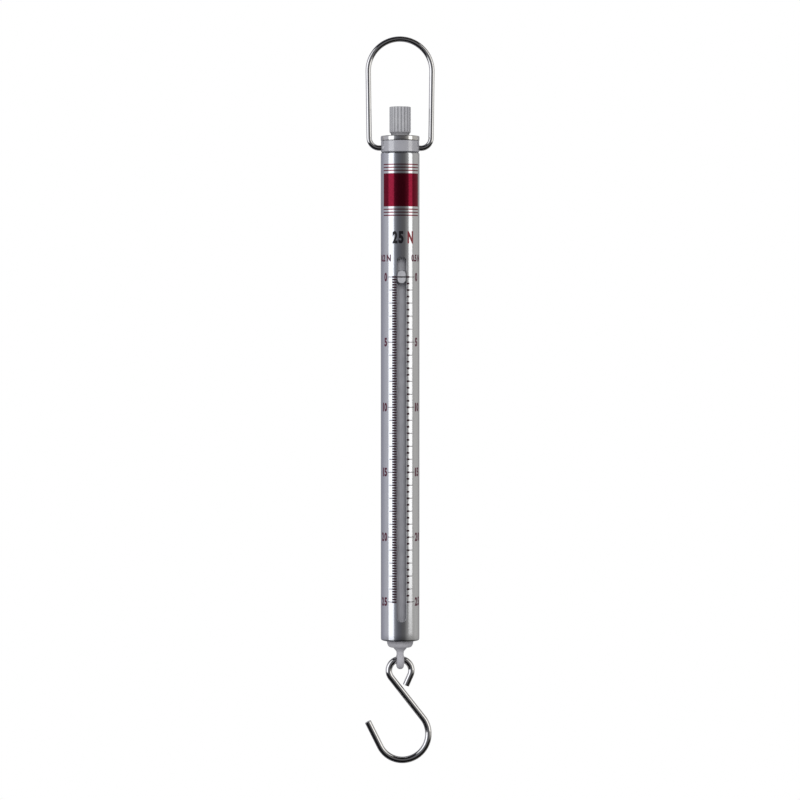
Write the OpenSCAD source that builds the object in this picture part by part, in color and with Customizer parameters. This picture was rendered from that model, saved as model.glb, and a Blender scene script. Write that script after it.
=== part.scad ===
// Hanging tubular spring scale that reads to 25 newtons. All sizes are in millimetres.
// The origin is the inside top of the wire bail, where a stand or a finger holds the scale.
// +Z is up, +X is to the right, and the slotted front of the tube looks along -Y.
// A spring inside the tube pulls the rod up. The knob on top moves the spring to set zero.

/* [Bail] */
// Diameter of the bail's wire
bail_wire_d = 2.2; // [1.8:0.1:2.4]
// Radius of the bail's top arc, to the middle of the wire
bail_r = 13.2; // [12.5:0.1:15]
// Height from the inside top of the bail down to its pivots
bail_drop = 43.8; // [43:0.05:50]
// Radius of the bail's two lower corners, to the middle of the wire
bail_corner_r = 4.2; // [3:0.1:4.4]
// Angle by which each leg leans inwards
bail_lean = 0.8; // [0:0.1:1]

/* [Head] */
// Outer diameter of the polished cap
cap_d = 16; // [15.8:0.1:17]
// Thickness of the cap's rim
cap_t = 1.95; // [1.2:0.05:2.1]
// Diameter of the neck that the swivel ring turns on
neck_d = 10; // [9:0.1:10.4]
// Outer diameter of the swivel ring
ring_d = 15.8; // [15.4:0.1:16.4]
// Height of the swivel ring
ring_h = 4.65; // [4.6:0.05:6]
// Depth of the bail's pivot holes below the top of the ring
pivot_depth = 2.95; // [2:0.05:3]

/* [Tare knob] */
// Diameter of the knob over its ribs
knob_d = 8.8; // [8.6:0.1:11]
// Height of the knob
knob_h = 11.95; // [11.5:0.05:14]
// Number of grip ribs on the knob
knob_ribs = 19; // [12:1:22]
// Diameter of the smooth neck below the ribs
knob_neck_d = 7.6; // [7.4:0.1:8.4]
// Diameter of the tare spindle
spindle_d = 4; // [3:0.1:4.4]
// How far the knob can raise or lower the spindle from its middle place
tare_travel = 3; // [1:0.1:3]

/* [Tube] */
// Outer diameter of the tube
tube_d = 16; // [15.6:0.1:17]
// Bore of the tube
tube_bore_d = 14; // [13.8:0.1:14.4]
// Length of the tube
tube_l = 202; // [200:0.1:215]
// Width of the slot
slot_w = 4; // [3.8:0.1:5]
// Length of the slot, end to end
slot_l = 150.7; // [146:0.1:151]
// Distance from the top of the tube to the top of the slot
slot_start = 43.1; // [43.1:0.1:45]

/* [Spring and rod] */
// Diameter of the spring's wire
spring_wire_d = 0.9; // [0.7:0.05:0.9]
// Mean diameter of the spring's coils
spring_d = 10.3; // [10.2:0.1:10.6]
// Number of turns in the spring
spring_turns = 31; // [24:1:31]
// Length of the spring at rest
spring_l = 29.6; // [29.6:0.1:30]
// Diameter of the pull rod
rod_d = 7.6; // [7.5:0.1:8]
// Distance from the top of the slot down to the zero of the scale
zero_drop = 8.4; // [6.5:0.1:9]
// Width of the pointer button
pointer_w = 3.4; // [3:0.1:3.6]
// Height of the pointer button
pointer_h = 5.15; // [4:0.05:6]

/* [Foot] */
// Largest diameter of the bush's nose
nose_d = 11; // [10:0.1:11.4]
// How far the nose stands out below the tube
nose_h = 2.9; // [2:0.1:4]
// Outer diameter of the eye
eye_d = 7.2; // [7:0.1:7.4]
// Thickness of the eye
eye_t = 3.05; // [2.5:0.05:3.1]
// Diameter of the hole through the eye
eye_hole_d = 3.9; // [3.8:0.05:4]

/* [Hook] */
// Diameter of the hook's wire
hook_wire_d = 2.7; // [2.2:0.1:2.8]
// Radius of the closed loop, to the middle of the wire
loop_r = 4.7; // [4.6:0.05:6]
// Radius of the open bend, to the middle of the wire
bend_r = 10.8; // [10:0.1:12]
// Radius of the tighter half of the bend, below the open arm
arm_bend_r = 10.4; // [9:0.05:10.4]
// Height between the centres of the loop and the bend
hook_span = 26.5; // [24:0.1:30]
// Distance of the bend's centre to the right of the loop's centre
bend_shift = 1; // [0:0.05:1]
// Angle of the open arm from upright
arm_lean = 26.3; // [20:0.1:30]
// Length of the open arm's straight end
arm_l = 11.5; // [6:0.1:13]
// Angle of the loop's cut end from upright
tail_lean = 24; // [15:1:28]
// Length of the loop's straight cut end
tail_l = 4.7; // [3:0.1:4.8]

/* [Hidden] */
$fn = 64;
cut = 1;                                        // how far a cutter runs past a face
play = 0.05;                                    // running clearance of the turning and sliding fits
press = 0.02;                                   // radial allowance of the pressed joints
seam_lap = 0.15;                                // how far a bend laps into its straight neighbour
seam_step = 0.005;                              // how much thinner a bend is than its neighbour

// Head: levels from the pivots
pivot_z = -bail_drop;
ring_top_z = pivot_z + pivot_depth;
ring_bottom_z = ring_top_z - ring_h;
pivot_hole_r = bail_wire_d / 2 + play;
rim_bottom_z = ring_top_z + play;
rim_top_z = rim_bottom_z + cap_t;
cap_round = 0.4;
shank_r = 3.5;
shank_l = 3;
washer_r = 3.6;
washer_t = 0.55;
washer_recess = washer_t - play;

// Tube: levels from the ring
tube_r = tube_d / 2;
bore_r = tube_bore_d / 2;
tube_top_z = ring_bottom_z - play;
tube_bottom_z = tube_top_z - tube_l;
tube_top_round = 0.9;
tube_round = 0.7;
lip_t = 0.6;
slot_r = slot_w / 2;
slot_top_z = tube_top_z - slot_start;
slot_bottom_z = slot_top_z - slot_l;
zero_z = slot_top_z - zero_drop;

// Plug in the top of the tube
plug_top_z = tube_top_z - play;
plug_l = 11.85;
plug_web = shank_l + play;
plug_hollow_r = 6;
key_slot_w = 1.3;
key_pin_r = 0.6;
screw_z = plug_top_z - 1.5;
screw_r = 1;
screw_tip_y = 4.2;

// Knob and spindle
knob_bottom_z = rim_top_z + play;
knob_top_z = knob_bottom_z + knob_h;
knob_neck_h = 0.85;
knob_chamfer = 0.75;
groove_r = 0.34;
insert_r = 3;
insert_l = knob_h - 1.95;
spindle_r = spindle_d / 2;
spindle_bore_r = spindle_r + play;
spindle_top_z = knob_bottom_z + 5.4;

// Spring and its two anchors
collar_r = 3.4;
collar_h = 3;
collar_top_z = plug_top_z - plug_web - tare_travel - 0.1;
key_pin_z = collar_top_z - collar_h / 2;
key_pin_half_l = bore_r - 0.2;
top_seat_z = collar_top_z - collar_h;
flange_r = 5.6;
flange_t = 1;
spring_top_z = top_seat_z - flange_t;
spring_bottom_z = spring_top_z - spring_l;
core_r = spring_d / 2 - spring_wire_d / 2 - 0.3;
core_l = 2.7;
spring_steps = 12;                              // points in each turn
spring_sides = 6;                               // sides of the wire
lower_flange_t = 0.8;
stem_r = 1.75;
stem_l = 7.8;

// Rod, piston and pointer
piston_top_z = spring_bottom_z - lower_flange_t;
piston_h = 2.3;
piston_r = bore_r - 0.07;
rod_top_z = piston_top_z - piston_h;
rod_r = rod_d / 2;
rod_bottom_z = tube_bottom_z - nose_h;
seat_y = -(rod_r - 0.45);
peg_r = 1.2;
peg_l = 1.8;
pointer_corner_r = 1.45;
pointer_front_r = tube_r + 0.3;
line_h = 0.4;
line_depth = 0.3;

// Foot: bush and eye
bush_top_z = slot_bottom_z - 0.7;
lip_r = nose_d / 2 + 0.1;
nose_tip_r = rod_r + 0.3;
eye_shank_r = 2;
eye_shank_l = 8;
eye_collar_r = 2.85;
eye_neck_r = eye_t / 2;
eye_neck_z = rod_bottom_z - 2.15;
eye_z = eye_neck_z - eye_d / 2 + 0.1;
eye_edge_r = eye_t / 2 - 0.1;
eye_hole_z = eye_z + 0.7;
eye_mouth = 0.35;

// Hook: centres and tangent points in the XZ plane, as [x, z]
hook_r = hook_wire_d / 2;
hook_pivot_z = eye_hole_z - 0.15;
loop_c = [0, hook_pivot_z - loop_r];
bend_c = loop_c + [bend_shift, -hook_span];
arm_c = bend_c - [0, bend_r - arm_bend_r];
centre_gap = norm(bend_c - loop_c);
shank_lean = atan2(bend_shift, hook_span) + asin((loop_r + bend_r) / centre_gap);
shank_start = on_circle(loop_c, loop_r, 180 + shank_lean);
shank_end = on_circle(bend_c, bend_r, shank_lean);
arm_start = on_circle(arm_c, arm_bend_r, 180 + arm_lean);
arm_end = arm_start + arm_l * [-sin(arm_lean), cos(arm_lean)];
tail_start = on_circle(loop_c, loop_r, -tail_lean);
tail_end = tail_start - tail_l * [sin(tail_lean), cos(tail_lean)];

// Point on a circle in the XZ plane, at an angle from +X towards +Z
function on_circle(centre, r, angle) = centre + r * [cos(angle), sin(angle)];

// Points of a quarter round between two angles, for a turned outline
function round_points(centre, r, from, to, steps = 6) =
    [for (i = [0 : steps]) on_circle(centre, r, from + (to - from) * i / steps)];

// Straight wire from p to q in the XZ plane
module wire_run(p, q, r) {
    d = q - p;
    translate([p[0], 0, p[1]])
        rotate([0, atan2(d[0], d[1]), 0])
            cylinder(h = norm(d), r = r);
}

// Bent wire in the XZ plane, from one angle to another about a centre.
// A bend is a hair thinner than the straight wire and laps into it at both ends.
module wire_arc(centre, bend, from, to, r) {
    lap_angle = seam_lap / bend * 180 / PI;
    translate([centre[0], 0, centre[1]])
        rotate([90, 0, 0])
            rotate([0, 0, from - lap_angle])
                rotate_extrude(angle = to - from + 2 * lap_angle)
                    translate([bend, 0])
                        circle(r = r - seam_step);
}

// Round bar between two heights
module bar(r, z0, z1) {
    translate([0, 0, min(z0, z1)])
        cylinder(h = abs(z1 - z0), r = r);
}

// Round cutter along X through the whole part, at height z
module cross_hole(r, z, half_l = 20) {
    translate([-half_l, 0, z])
        rotate([0, 90, 0])
            cylinder(h = 2 * half_l, r = r);
}

// Round bar along Y between y0 and y1, at height z
module bar_along_y(r, y0, y1, z) {
    translate([0, y0, z])
        rotate([-90, 0, 0])
            cylinder(h = y1 - y0, r = r);
}

// Wire loop that the scale hangs from, with its ends bent in to the ring
module bail() {
    r = bail_wire_d / 2;
    top_c = [0, r - bail_r];
    leg_top = on_circle(top_c, bail_r, -bail_lean);
    corner_z = pivot_z + bail_corner_r;
    leg_l = (leg_top[1] - corner_z + bail_corner_r * sin(bail_lean)) / cos(bail_lean);
    leg_bottom = leg_top - leg_l * [sin(bail_lean), cos(bail_lean)];
    corner_c = [leg_bottom[0] - bail_corner_r * cos(bail_lean), corner_z];
    end_x = neck_d / 2 + 0.5;
    color("silver") {
        wire_arc(top_c, bail_r, -bail_lean, 180 + bail_lean, r);
        for (side = [0, 1]) mirror([side, 0, 0]) {
            wire_run(leg_top, leg_bottom, r);
            wire_arc(corner_c, bail_corner_r, -90, -bail_lean, r);
            wire_run([corner_c[0], pivot_z], [end_x, pivot_z], r);
        }
    }
}

// Matt ring that turns on the neck and holds the bail's two ends
module swivel_ring() {
    edge = 0.2;
    inner = neck_d / 2 + play;
    outer = ring_d / 2;
    color("darkgray")
        difference() {
            rotate_extrude()
                polygon([
                    [inner, ring_bottom_z], [outer - edge, ring_bottom_z],
                    [outer, ring_bottom_z + edge], [outer, ring_top_z - edge],
                    [outer - edge, ring_top_z], [inner, ring_top_z]
                ]);
            cross_hole(pivot_hole_r, pivot_z);
        }
}

// Turned cap: polished rim, neck for the ring, and the shank that screws into the plug
module head_cap() {
    rim_r = cap_d / 2;
    neck_r = neck_d / 2;
    recess_z = rim_top_z - washer_recess;
    shank_z = plug_top_z - shank_l;
    color("silver")
        rotate_extrude()
            polygon(concat(
                [[spindle_bore_r, shank_z], [shank_r - press, shank_z], [shank_r - press, plug_top_z],
                 [neck_r, plug_top_z], [neck_r, rim_bottom_z], [rim_r - 0.15, rim_bottom_z],
                 [rim_r, rim_bottom_z + 0.15]],
                round_points([rim_r - cap_round, rim_top_z - cap_round], cap_round, 0, 90),
                [[washer_r + play, rim_top_z], [washer_r + play, recess_z], [spindle_bore_r, recess_z]]
            ));
}

// Thin washer that the knob turns on, let into the cap
module thrust_washer() {
    bottom_z = rim_top_z - washer_recess;
    color("ivory")
        difference() {
            bar(washer_r, bottom_z, bottom_z + washer_t);
            bar(spindle_bore_r + 0.1, bottom_z - cut, bottom_z + washer_t + cut);
        }
}

// Plug pressed into the tube, slotted inside for the key pin
module tube_plug() {
    bottom_z = plug_top_z - plug_l;
    web_z = plug_top_z - plug_web;
    color("gainsboro")
        difference() {
            bar(bore_r - press, bottom_z, plug_top_z);
            bar(shank_r, bottom_z - cut, plug_top_z + cut);
            bar(plug_hollow_r, bottom_z - cut, web_z);
            translate([-tube_r, -key_slot_w / 2, bottom_z - cut])
                cube([tube_d, key_slot_w, web_z - bottom_z + cut]);
            bar_along_y(screw_r, screw_tip_y, tube_r, screw_z);
        }
}

// Slotted grub screw that holds the plug from behind
module plug_screw() {
    color("dimgray")
        difference() {
            bar_along_y(screw_r - press, screw_tip_y, tube_r - 0.2, screw_z);
            translate([-0.15, tube_r - 0.8, screw_z - screw_r])
                cube([0.3, cut, 2 * screw_r]);
        }
}

// Aluminium tube with its front slot and its rolled-in lower edge
module scale_tube() {
    top_round = [tube_r - tube_top_round, tube_top_z - tube_top_round];
    low_round = [tube_r - tube_round, tube_bottom_z + tube_round];
    color("lightsteelblue")
        difference() {
            rotate_extrude()
                polygon(concat(
                    [[bore_r, tube_bottom_z + lip_t], [lip_r, tube_bottom_z + lip_t], [lip_r, tube_bottom_z]],
                    round_points(low_round, tube_round, -90, 0),
                    round_points(top_round, tube_top_round, 0, 90),
                    [[bore_r, tube_top_z]]
                ));
            for (z = [slot_top_z - slot_r, slot_bottom_z + slot_r])
                bar_along_y(slot_r, -tube_d, 0, z);
            translate([-slot_r, -tube_d, slot_bottom_z + slot_r])
                cube([slot_w, tube_d, slot_l - slot_w]);
            bar_along_y(screw_r + play, screw_tip_y, tube_d, screw_z);
        }
}

// Plastic bush that guides the rod, with a domed nose below the tube
module end_bush() {
    body_r = bore_r - press;
    body_z = tube_bottom_z + lip_t;
    nose_r = nose_d / 2;
    dome_z = tube_bottom_z - 0.2;
    dome_h = dome_z - rod_bottom_z;
    dome = [for (a = [0 : 10 : 90])
        [nose_tip_r + (nose_r - nose_tip_r) * cos(a), dome_z - dome_h * sin(a)]];
    color("darkgray")
        rotate_extrude()
            polygon(concat(
                [[rod_r + play, bush_top_z], [body_r, bush_top_z], [body_r, body_z], [nose_r, body_z]],
                dome,
                [[rod_r + play, rod_bottom_z]]
            ));
}

// Ribbed knob that turns to set the zero
module tare_knob() {
    r = knob_d / 2;
    neck_r = knob_neck_d / 2;
    neck_z = knob_bottom_z + knob_neck_h;
    edge = 0.25;
    color("darkgray")
        difference() {
            rotate_extrude()
                polygon([
                    [0, knob_bottom_z + insert_l], [insert_r, knob_bottom_z + insert_l],
                    [insert_r, knob_bottom_z], [neck_r, knob_bottom_z], [neck_r, neck_z],
                    [r, neck_z + knob_chamfer], [r, knob_top_z - edge],
                    [r - edge, knob_top_z], [0, knob_top_z]
                ]);
            for (i = [0 : knob_ribs - 1])
                rotate([0, 0, 7 + i * 360 / knob_ribs])
                    translate([r + 0.06, 0, neck_z - cut])
                        cylinder(h = knob_h + cut, r = groove_r, $fn = 24);
        }
}

// Brass nut pressed into the knob, running on the spindle
module knob_insert() {
    color("goldenrod")
        difference() {
            bar(insert_r - press, knob_bottom_z, knob_bottom_z + insert_l - 0.2);
            bar(spindle_bore_r, knob_bottom_z - cut, knob_bottom_z + insert_l);
        }
}

// Spindle that the nut raises and lowers
module tare_spindle() {
    color("slategray")
        difference() {
            bar(spindle_r, spring_top_z - core_l, spindle_top_z);
            cross_hole(key_pin_r, key_pin_z);
        }
}

// Cross pin that keeps the spindle from turning with the knob
module key_pin() {
    color("dimgray")
        cross_hole(key_pin_r - press, key_pin_z, key_pin_half_l);
}

// Anchor that carries the top of the spring
module spring_top_anchor() {
    color("goldenrod")
        difference() {
            union() {
                bar(collar_r, top_seat_z, collar_top_z);
                bar(flange_r, spring_top_z, top_seat_z);
                bar(core_r, spring_top_z - core_l, spring_top_z);
            }
            bar(spindle_r + press, spring_top_z - core_l - cut, collar_top_z + cut);
            cross_hole(key_pin_r, key_pin_z);
        }
}

// Close-wound extension spring, swept round its helix
module main_spring() {
    wire_r = spring_wire_d / 2;
    coil_r = spring_d / 2;
    rings = spring_turns * spring_steps;
    pitch = (spring_l - spring_wire_d) / spring_turns;
    points = [
        for (i = [0 : rings], k = [0 : spring_sides - 1])
            let (
                turn = 360 * i / spring_steps,
                side = 360 * k / spring_sides,
                r = coil_r + wire_r * cos(side)
            )
            [r * cos(turn), r * sin(turn), spring_top_z - wire_r - pitch * i / spring_steps + wire_r * sin(side)]
    ];
    walls = [
        for (i = [0 : rings - 1], k = [0 : spring_sides - 1])
            let (a = i * spring_sides + k, b = i * spring_sides + (k + 1) % spring_sides)
            each [[a, b, b + spring_sides], [a, b + spring_sides, a + spring_sides]]
    ];
    first_end = [for (k = [spring_sides - 1 : -1 : 0]) k];
    last_end = [for (k = [0 : spring_sides - 1]) rings * spring_sides + k];
    color("gray")
        polyhedron(points, concat(walls, [first_end, last_end]));
}

// Anchor at the foot of the spring, with the stem that holds the piston and the rod
module spring_bottom_anchor() {
    color("goldenrod") {
        bar(core_r, spring_bottom_z, spring_bottom_z + core_l);
        bar(flange_r, piston_top_z, spring_bottom_z);
        bar(stem_r, piston_top_z - stem_l, piston_top_z);
    }
}

// Slider that centres the top of the rod in the tube
module guide_piston() {
    edge = 0.3;
    bore = stem_r + press;
    color("white")
        rotate_extrude()
            polygon([
                [bore, rod_top_z], [piston_r - edge, rod_top_z], [piston_r, rod_top_z + edge],
                [piston_r, piston_top_z - edge], [piston_r - edge, piston_top_z], [bore, piston_top_z]
            ]);
}

// Pull rod, with a flat seat and a peg hole for the pointer
module pull_rod() {
    seat_h = pointer_h + 0.15;
    color("darkgray")
        difference() {
            bar(rod_r, rod_bottom_z, rod_top_z);
            bar(stem_r + press, piston_top_z - stem_l - 0.4, rod_top_z + cut);
            bar(eye_shank_r, rod_bottom_z - cut, rod_bottom_z + eye_shank_l + 0.3);
            translate([-rod_r, -tube_r, zero_z - seat_h / 2])
                cube([rod_d, tube_r + seat_y, seat_h]);
            bar_along_y(peg_r, -tube_r, seat_y + peg_l + 0.2, zero_z);
        }
}

// Outline of the pointer, seen from the front
module pointer_outline(h) {
    x = pointer_w / 2 - pointer_corner_r;
    y = h / 2 - pointer_corner_r;
    union() {
        square([pointer_w, 2 * y], center = true);
        square([2 * x, h], center = true);
        for (i = [-1, 1], j = [-1, 1])
            translate([i * x, j * y])
                circle(r = pointer_corner_r);
    }
}

// Button that shows through the slot and marks the reading
module pointer_button() {
    color("lightgray") {
        difference() {
            intersection() {
                translate([0, seat_y, zero_z])
                    rotate([90, 0, 0])
                        linear_extrude(height = tube_r)
                            pointer_outline(pointer_h);
                bar(pointer_front_r, zero_z - pointer_h, zero_z + pointer_h);
            }
            difference() {
                translate([-pointer_w, -tube_d, zero_z - line_h / 2 - press])
                    cube([2 * pointer_w, tube_d, line_h + 2 * press]);
                bar(pointer_front_r - line_depth, zero_z - pointer_h, zero_z + pointer_h);
            }
        }
        bar_along_y(peg_r - press, seat_y, seat_y + peg_l, zero_z);
    }
}

// Black index line let into the button
module pointer_line() {
    half_w = pointer_w / 2 - press;
    color("black")
        intersection() {
            translate([-half_w, -tube_d, zero_z - line_h / 2])
                cube([2 * half_w, tube_d, line_h]);
            difference() {
                bar(pointer_front_r - press, zero_z - line_h, zero_z + line_h);
                bar(pointer_front_r - line_depth + press, zero_z - pointer_h, zero_z + pointer_h);
            }
        }
}

// Eye under the rod: pressed shank, flared collar and a round-edged ring for the hook
module rod_eye() {
    flare_h = rod_bottom_z - eye_neck_z;
    flare = [for (a = [0 : 20 : 180])
        [eye_neck_r + (eye_collar_r - eye_neck_r) * (1 + cos(a)) / 2, rod_bottom_z - flare_h * a / 180]];
    rim = eye_d / 2 - eye_edge_r;
    half_t = eye_t / 2;
    shank_top_z = rod_bottom_z + eye_shank_l;
    color("darkgray")
        difference() {
            union() {
                rotate_extrude()
                    polygon(concat(
                        [[0, shank_top_z], [eye_shank_r - press, shank_top_z],
                         [eye_shank_r - press, rod_bottom_z]],
                        flare,
                        [[eye_neck_r, eye_neck_z - 0.5], [0, eye_neck_z - 0.5]]
                    ));
                translate([0, 0, eye_z])
                    rotate([0, 90, 0])
                        rotate_extrude()
                            polygon(concat(
                                [[0, -half_t], [rim, -half_t]],
                                round_points([rim, eye_edge_r - half_t], eye_edge_r, -90, 0),
                                round_points([rim, half_t - eye_edge_r], eye_edge_r, 0, 90),
                                [[0, half_t]]
                            ));
            }
            cross_hole(eye_hole_d / 2, eye_hole_z);
            for (side = [0, 1]) mirror([side, 0, 0])
                translate([half_t - eye_mouth, 0, eye_hole_z])
                    rotate([0, 90, 0])
                        cylinder(h = 2 * eye_mouth, r1 = eye_hole_d / 2, r2 = eye_hole_d / 2 + 2 * eye_mouth);
        }
}

// Bent steel hook, with a small loop through the eye and an open bend for the load
module hook() {
    color("silver") {
        wire_run(tail_end, tail_start, hook_r);
        wire_arc(loop_c, loop_r, -tail_lean, 180 + shank_lean, hook_r);
        wire_run(shank_start, shank_end, hook_r);
        wire_arc(bend_c, bend_r, -90, shank_lean, hook_r);
        wire_arc(arm_c, arm_bend_r, 180 + arm_lean, 270, hook_r - seam_step);
        wire_run(arm_start, arm_end, hook_r);
    }
}

bail();
swivel_ring();
head_cap();
thrust_washer();
tube_plug();
plug_screw();
scale_tube();
end_bush();
tare_knob();
knob_insert();
tare_spindle();
key_pin();
spring_top_anchor();
main_spring();
spring_bottom_anchor();
guide_piston();
pull_rod();
pointer_button();
pointer_line();
rod_eye();
hook();
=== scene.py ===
"""Looks of the hanging tubular spring scale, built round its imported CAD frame."""
import math

import bmesh
import bpy
import numpy as np
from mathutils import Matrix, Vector


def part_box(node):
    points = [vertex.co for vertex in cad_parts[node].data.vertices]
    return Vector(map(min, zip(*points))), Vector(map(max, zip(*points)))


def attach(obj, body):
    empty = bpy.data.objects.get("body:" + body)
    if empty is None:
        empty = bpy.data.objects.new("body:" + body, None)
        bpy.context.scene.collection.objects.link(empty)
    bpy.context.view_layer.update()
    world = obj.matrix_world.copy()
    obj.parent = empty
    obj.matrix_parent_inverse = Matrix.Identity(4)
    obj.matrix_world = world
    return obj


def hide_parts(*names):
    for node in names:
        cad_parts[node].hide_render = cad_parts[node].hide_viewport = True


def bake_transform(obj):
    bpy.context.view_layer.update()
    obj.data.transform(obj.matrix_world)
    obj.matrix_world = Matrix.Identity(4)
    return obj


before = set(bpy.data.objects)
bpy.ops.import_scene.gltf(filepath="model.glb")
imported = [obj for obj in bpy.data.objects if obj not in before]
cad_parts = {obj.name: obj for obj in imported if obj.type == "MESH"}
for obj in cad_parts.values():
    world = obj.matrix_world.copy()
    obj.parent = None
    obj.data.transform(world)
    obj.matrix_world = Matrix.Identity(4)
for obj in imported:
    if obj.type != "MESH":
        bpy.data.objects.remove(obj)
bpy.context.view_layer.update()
scene = bpy.context.scene
MM = 0.001
TURN = 2 * math.pi


def levels(node_name):
    """Lowest and highest z of a CAD node, in mm."""
    low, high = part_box(node_name)
    return low.z / MM, high.z / MM


# ---------------------------------------------------------------- sizes, in mm
TUBE_BOTTOM, TUBE_TOP = levels("scale_tube")
KNOB_BOTTOM, KNOB_TOP = levels("tare_knob")
SHANK_BOTTOM, RIM_TOP = levels("head_cap")
NOSE_TIP, BUSH_TOP = levels("end_bush")
POINTER_BOTTOM, POINTER_TOP = levels("pointer_button")
SPRING_BOTTOM, SPRING_TOP = levels("main_spring")
RING_TOP = levels("swivel_ring")[1]
HOOK_TOP = levels("hook")[1]

TUBE_R, BORE_R = 8.0, 7.0
LIP_R, LIP_T = 5.6, 0.6
SLOT_R, SLOT_START, SLOT_LENGTH = 2.0, 43.1, 150.7
ZERO_DROP = 8.4
PIVOT_DEPTH = 2.95
SCREW_DEPTH = 1.55
ROD_R = 3.8
RANGE, SPAN_PER_NEWTON = 25, 5.36

SLOT_TOP = TUBE_TOP - SLOT_START
SLOT_BOTTOM = SLOT_TOP - SLOT_LENGTH
SLOT_LOW, SLOT_HIGH = SLOT_BOTTOM + SLOT_R, SLOT_TOP - SLOT_R
ZERO_Z = SLOT_TOP - ZERO_DROP
PIVOT_Z = RING_TOP - PIVOT_DEPTH
SCREW_Z = TUBE_TOP - SCREW_DEPTH


# ---------------------------------------------------------------- mesh helpers
def add_piece(name, verts, faces, body, look, replaced=(), smooth=30):
    """Makes a mesh piece from points in mm, shades it, and lets it ride on a body."""
    mesh = bpy.data.meshes.new(name)
    mesh.from_pydata([tuple(c * MM for c in v) for v in verts], [], faces)
    bm = bmesh.new()
    bm.from_mesh(mesh)
    bmesh.ops.recalc_face_normals(bm, faces=bm.faces)
    bm.to_mesh(mesh)
    bm.free()
    return finish_piece(name, mesh, body, look, replaced, smooth)


def dress(mesh, look, smooth=30):
    """Gives a mesh its material, and smooth shading across edges up to an angle in degrees."""
    mesh.shade_smooth()
    mesh.set_sharp_from_angle(angle=math.radians(smooth))
    mesh.materials.clear()
    mesh.materials.append(look)


def finish_piece(name, mesh, body, look, replaced=(), smooth=30):
    """Makes a piece of a mesh in metres, and lets it ride on the body if one is given."""
    dress(mesh, look, smooth)
    obj = bpy.data.objects.new(name, mesh)
    scene.collection.objects.link(obj)
    if body:
        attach(obj, body)
    if replaced:
        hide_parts(*replaced)
    return obj


def on_circle(centre, r, degrees):
    """The point of a circle at an angle from its first axis."""
    a = math.radians(degrees)
    return np.array(centre, float) + r * np.array([math.cos(a), math.sin(a)])


def leaning(degrees):
    """The unit vector (x, z) that points up at 0 degrees and leans towards +x."""
    a = math.radians(degrees)
    return np.array([math.sin(a), math.cos(a)])


def rounded(centre, r, start, end, steps=6):
    """Points of a rounded edge in a turned outline, as (radius, z)."""
    return [tuple(on_circle(centre, r, start + (end - start) * i / steps)) for i in range(steps + 1)]


def arc(centre, r, start, end, step=3.0):
    """Points of an arc between two angles, about a step of degrees apart."""
    count = max(2, int(abs(end - start) / step))
    return [on_circle(centre, r, start + (end - start) * i / count) for i in range(count + 1)]


def line(p, q, spacing=1.0):
    """Points of a straight line, a little over a spacing in mm apart."""
    p, q = np.array(p, float), np.array(q, float)
    count = max(1, int(np.linalg.norm(q - p) / spacing))
    return [p + (q - p) * i / count for i in range(count + 1)]


def lathe(outline, steps=160, shape=None):
    """Turns a closed outline of (radius, z) round the Z axis. shape(angle, r, z) may change a radius."""
    verts, rings = [], []
    for r, z in outline:
        if r < 1e-6:
            rings.append([len(verts)] * steps)
            verts.append((0.0, 0.0, z))
            continue
        rings.append(list(range(len(verts), len(verts) + steps)))
        for k in range(steps):
            angle = TURN * k / steps
            rk = shape(angle, r, z) if shape else r
            verts.append((rk * math.cos(angle), rk * math.sin(angle), z))
    faces = []
    for i, a in enumerate(rings):
        b = rings[(i + 1) % len(rings)]
        if a[0] == a[1] and b[0] == b[1]:
            continue
        for k in range(steps):
            n = (k + 1) % steps
            corners = [a[k], a[n], b[n], b[k]]
            unique = [c for j, c in enumerate(corners) if c not in corners[:j]]
            if len(unique) > 2:
                faces.append(unique)
    return verts, faces


def skin(rings, sides):
    """Quads between neighbouring rings of points, where ring i holds the points from i * sides."""
    faces = []
    for i in range(rings - 1):
        for k in range(sides):
            n = (k + 1) % sides
            faces.append((i * sides + k, i * sides + n, (i + 1) * sides + n, (i + 1) * sides + k))
    return faces


def wire(path, radius, sides=36, chamfer=0.15):
    """Sweeps a round wire along a path in the XZ plane, with chamfered cut ends."""
    points = [path[0]]
    for p in path[1:]:
        if np.linalg.norm(p - points[-1]) > 1e-4:
            points.append(p)
    points = np.array(points)
    tangents = np.gradient(points, axis=0)
    tangents[0] = points[1] - points[0]
    tangents[-1] = points[-1] - points[-2]
    tangents /= np.linalg.norm(tangents, axis=1)[:, None]
    rings = [(points[0], tangents[0], radius - chamfer)]
    rings.append((points[0] + tangents[0] * chamfer, tangents[0], radius))
    rings += [(p, t, radius) for p, t in zip(points[1:-1], tangents[1:-1])]
    rings.append((points[-1] - tangents[-1] * chamfer, tangents[-1], radius))
    rings.append((points[-1], tangents[-1], radius - chamfer))
    verts = []
    for p, t, r in rings:
        side = np.array([-t[1], t[0]])
        for k in range(sides):
            a = TURN * k / sides
            x, z = p + r * math.cos(a) * side
            verts.append((x, r * math.sin(a), z))
    faces = skin(len(rings), sides)
    for ring, centre in ((0, points[0]), (len(rings) - 1, points[-1])):
        verts.append((centre[0], 0.0, centre[1]))
        for k in range(sides):
            faces.append((ring * sides + k, ring * sides + (k + 1) % sides, len(verts) - 1))
    return verts, faces


# ---------------------------------------------------------------- material helpers
def node(tree, kind, inputs=None, **settings):
    """Adds a shader node, makes its settings, and gives each input a value or a link."""
    made = tree.nodes.new("ShaderNode" + kind)
    for key, value in settings.items():
        setattr(made, key, value)
    for key, value in (inputs or {}).items():
        if isinstance(value, bpy.types.NodeSocket):
            tree.links.new(value, made.inputs[key])
        else:
            made.inputs[key].default_value = value
    return made


def material(name):
    mat = bpy.data.materials.new(name)
    mat.use_nodes = True
    tree = mat.node_tree
    return mat, tree, tree.nodes["Principled BSDF"]


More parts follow.
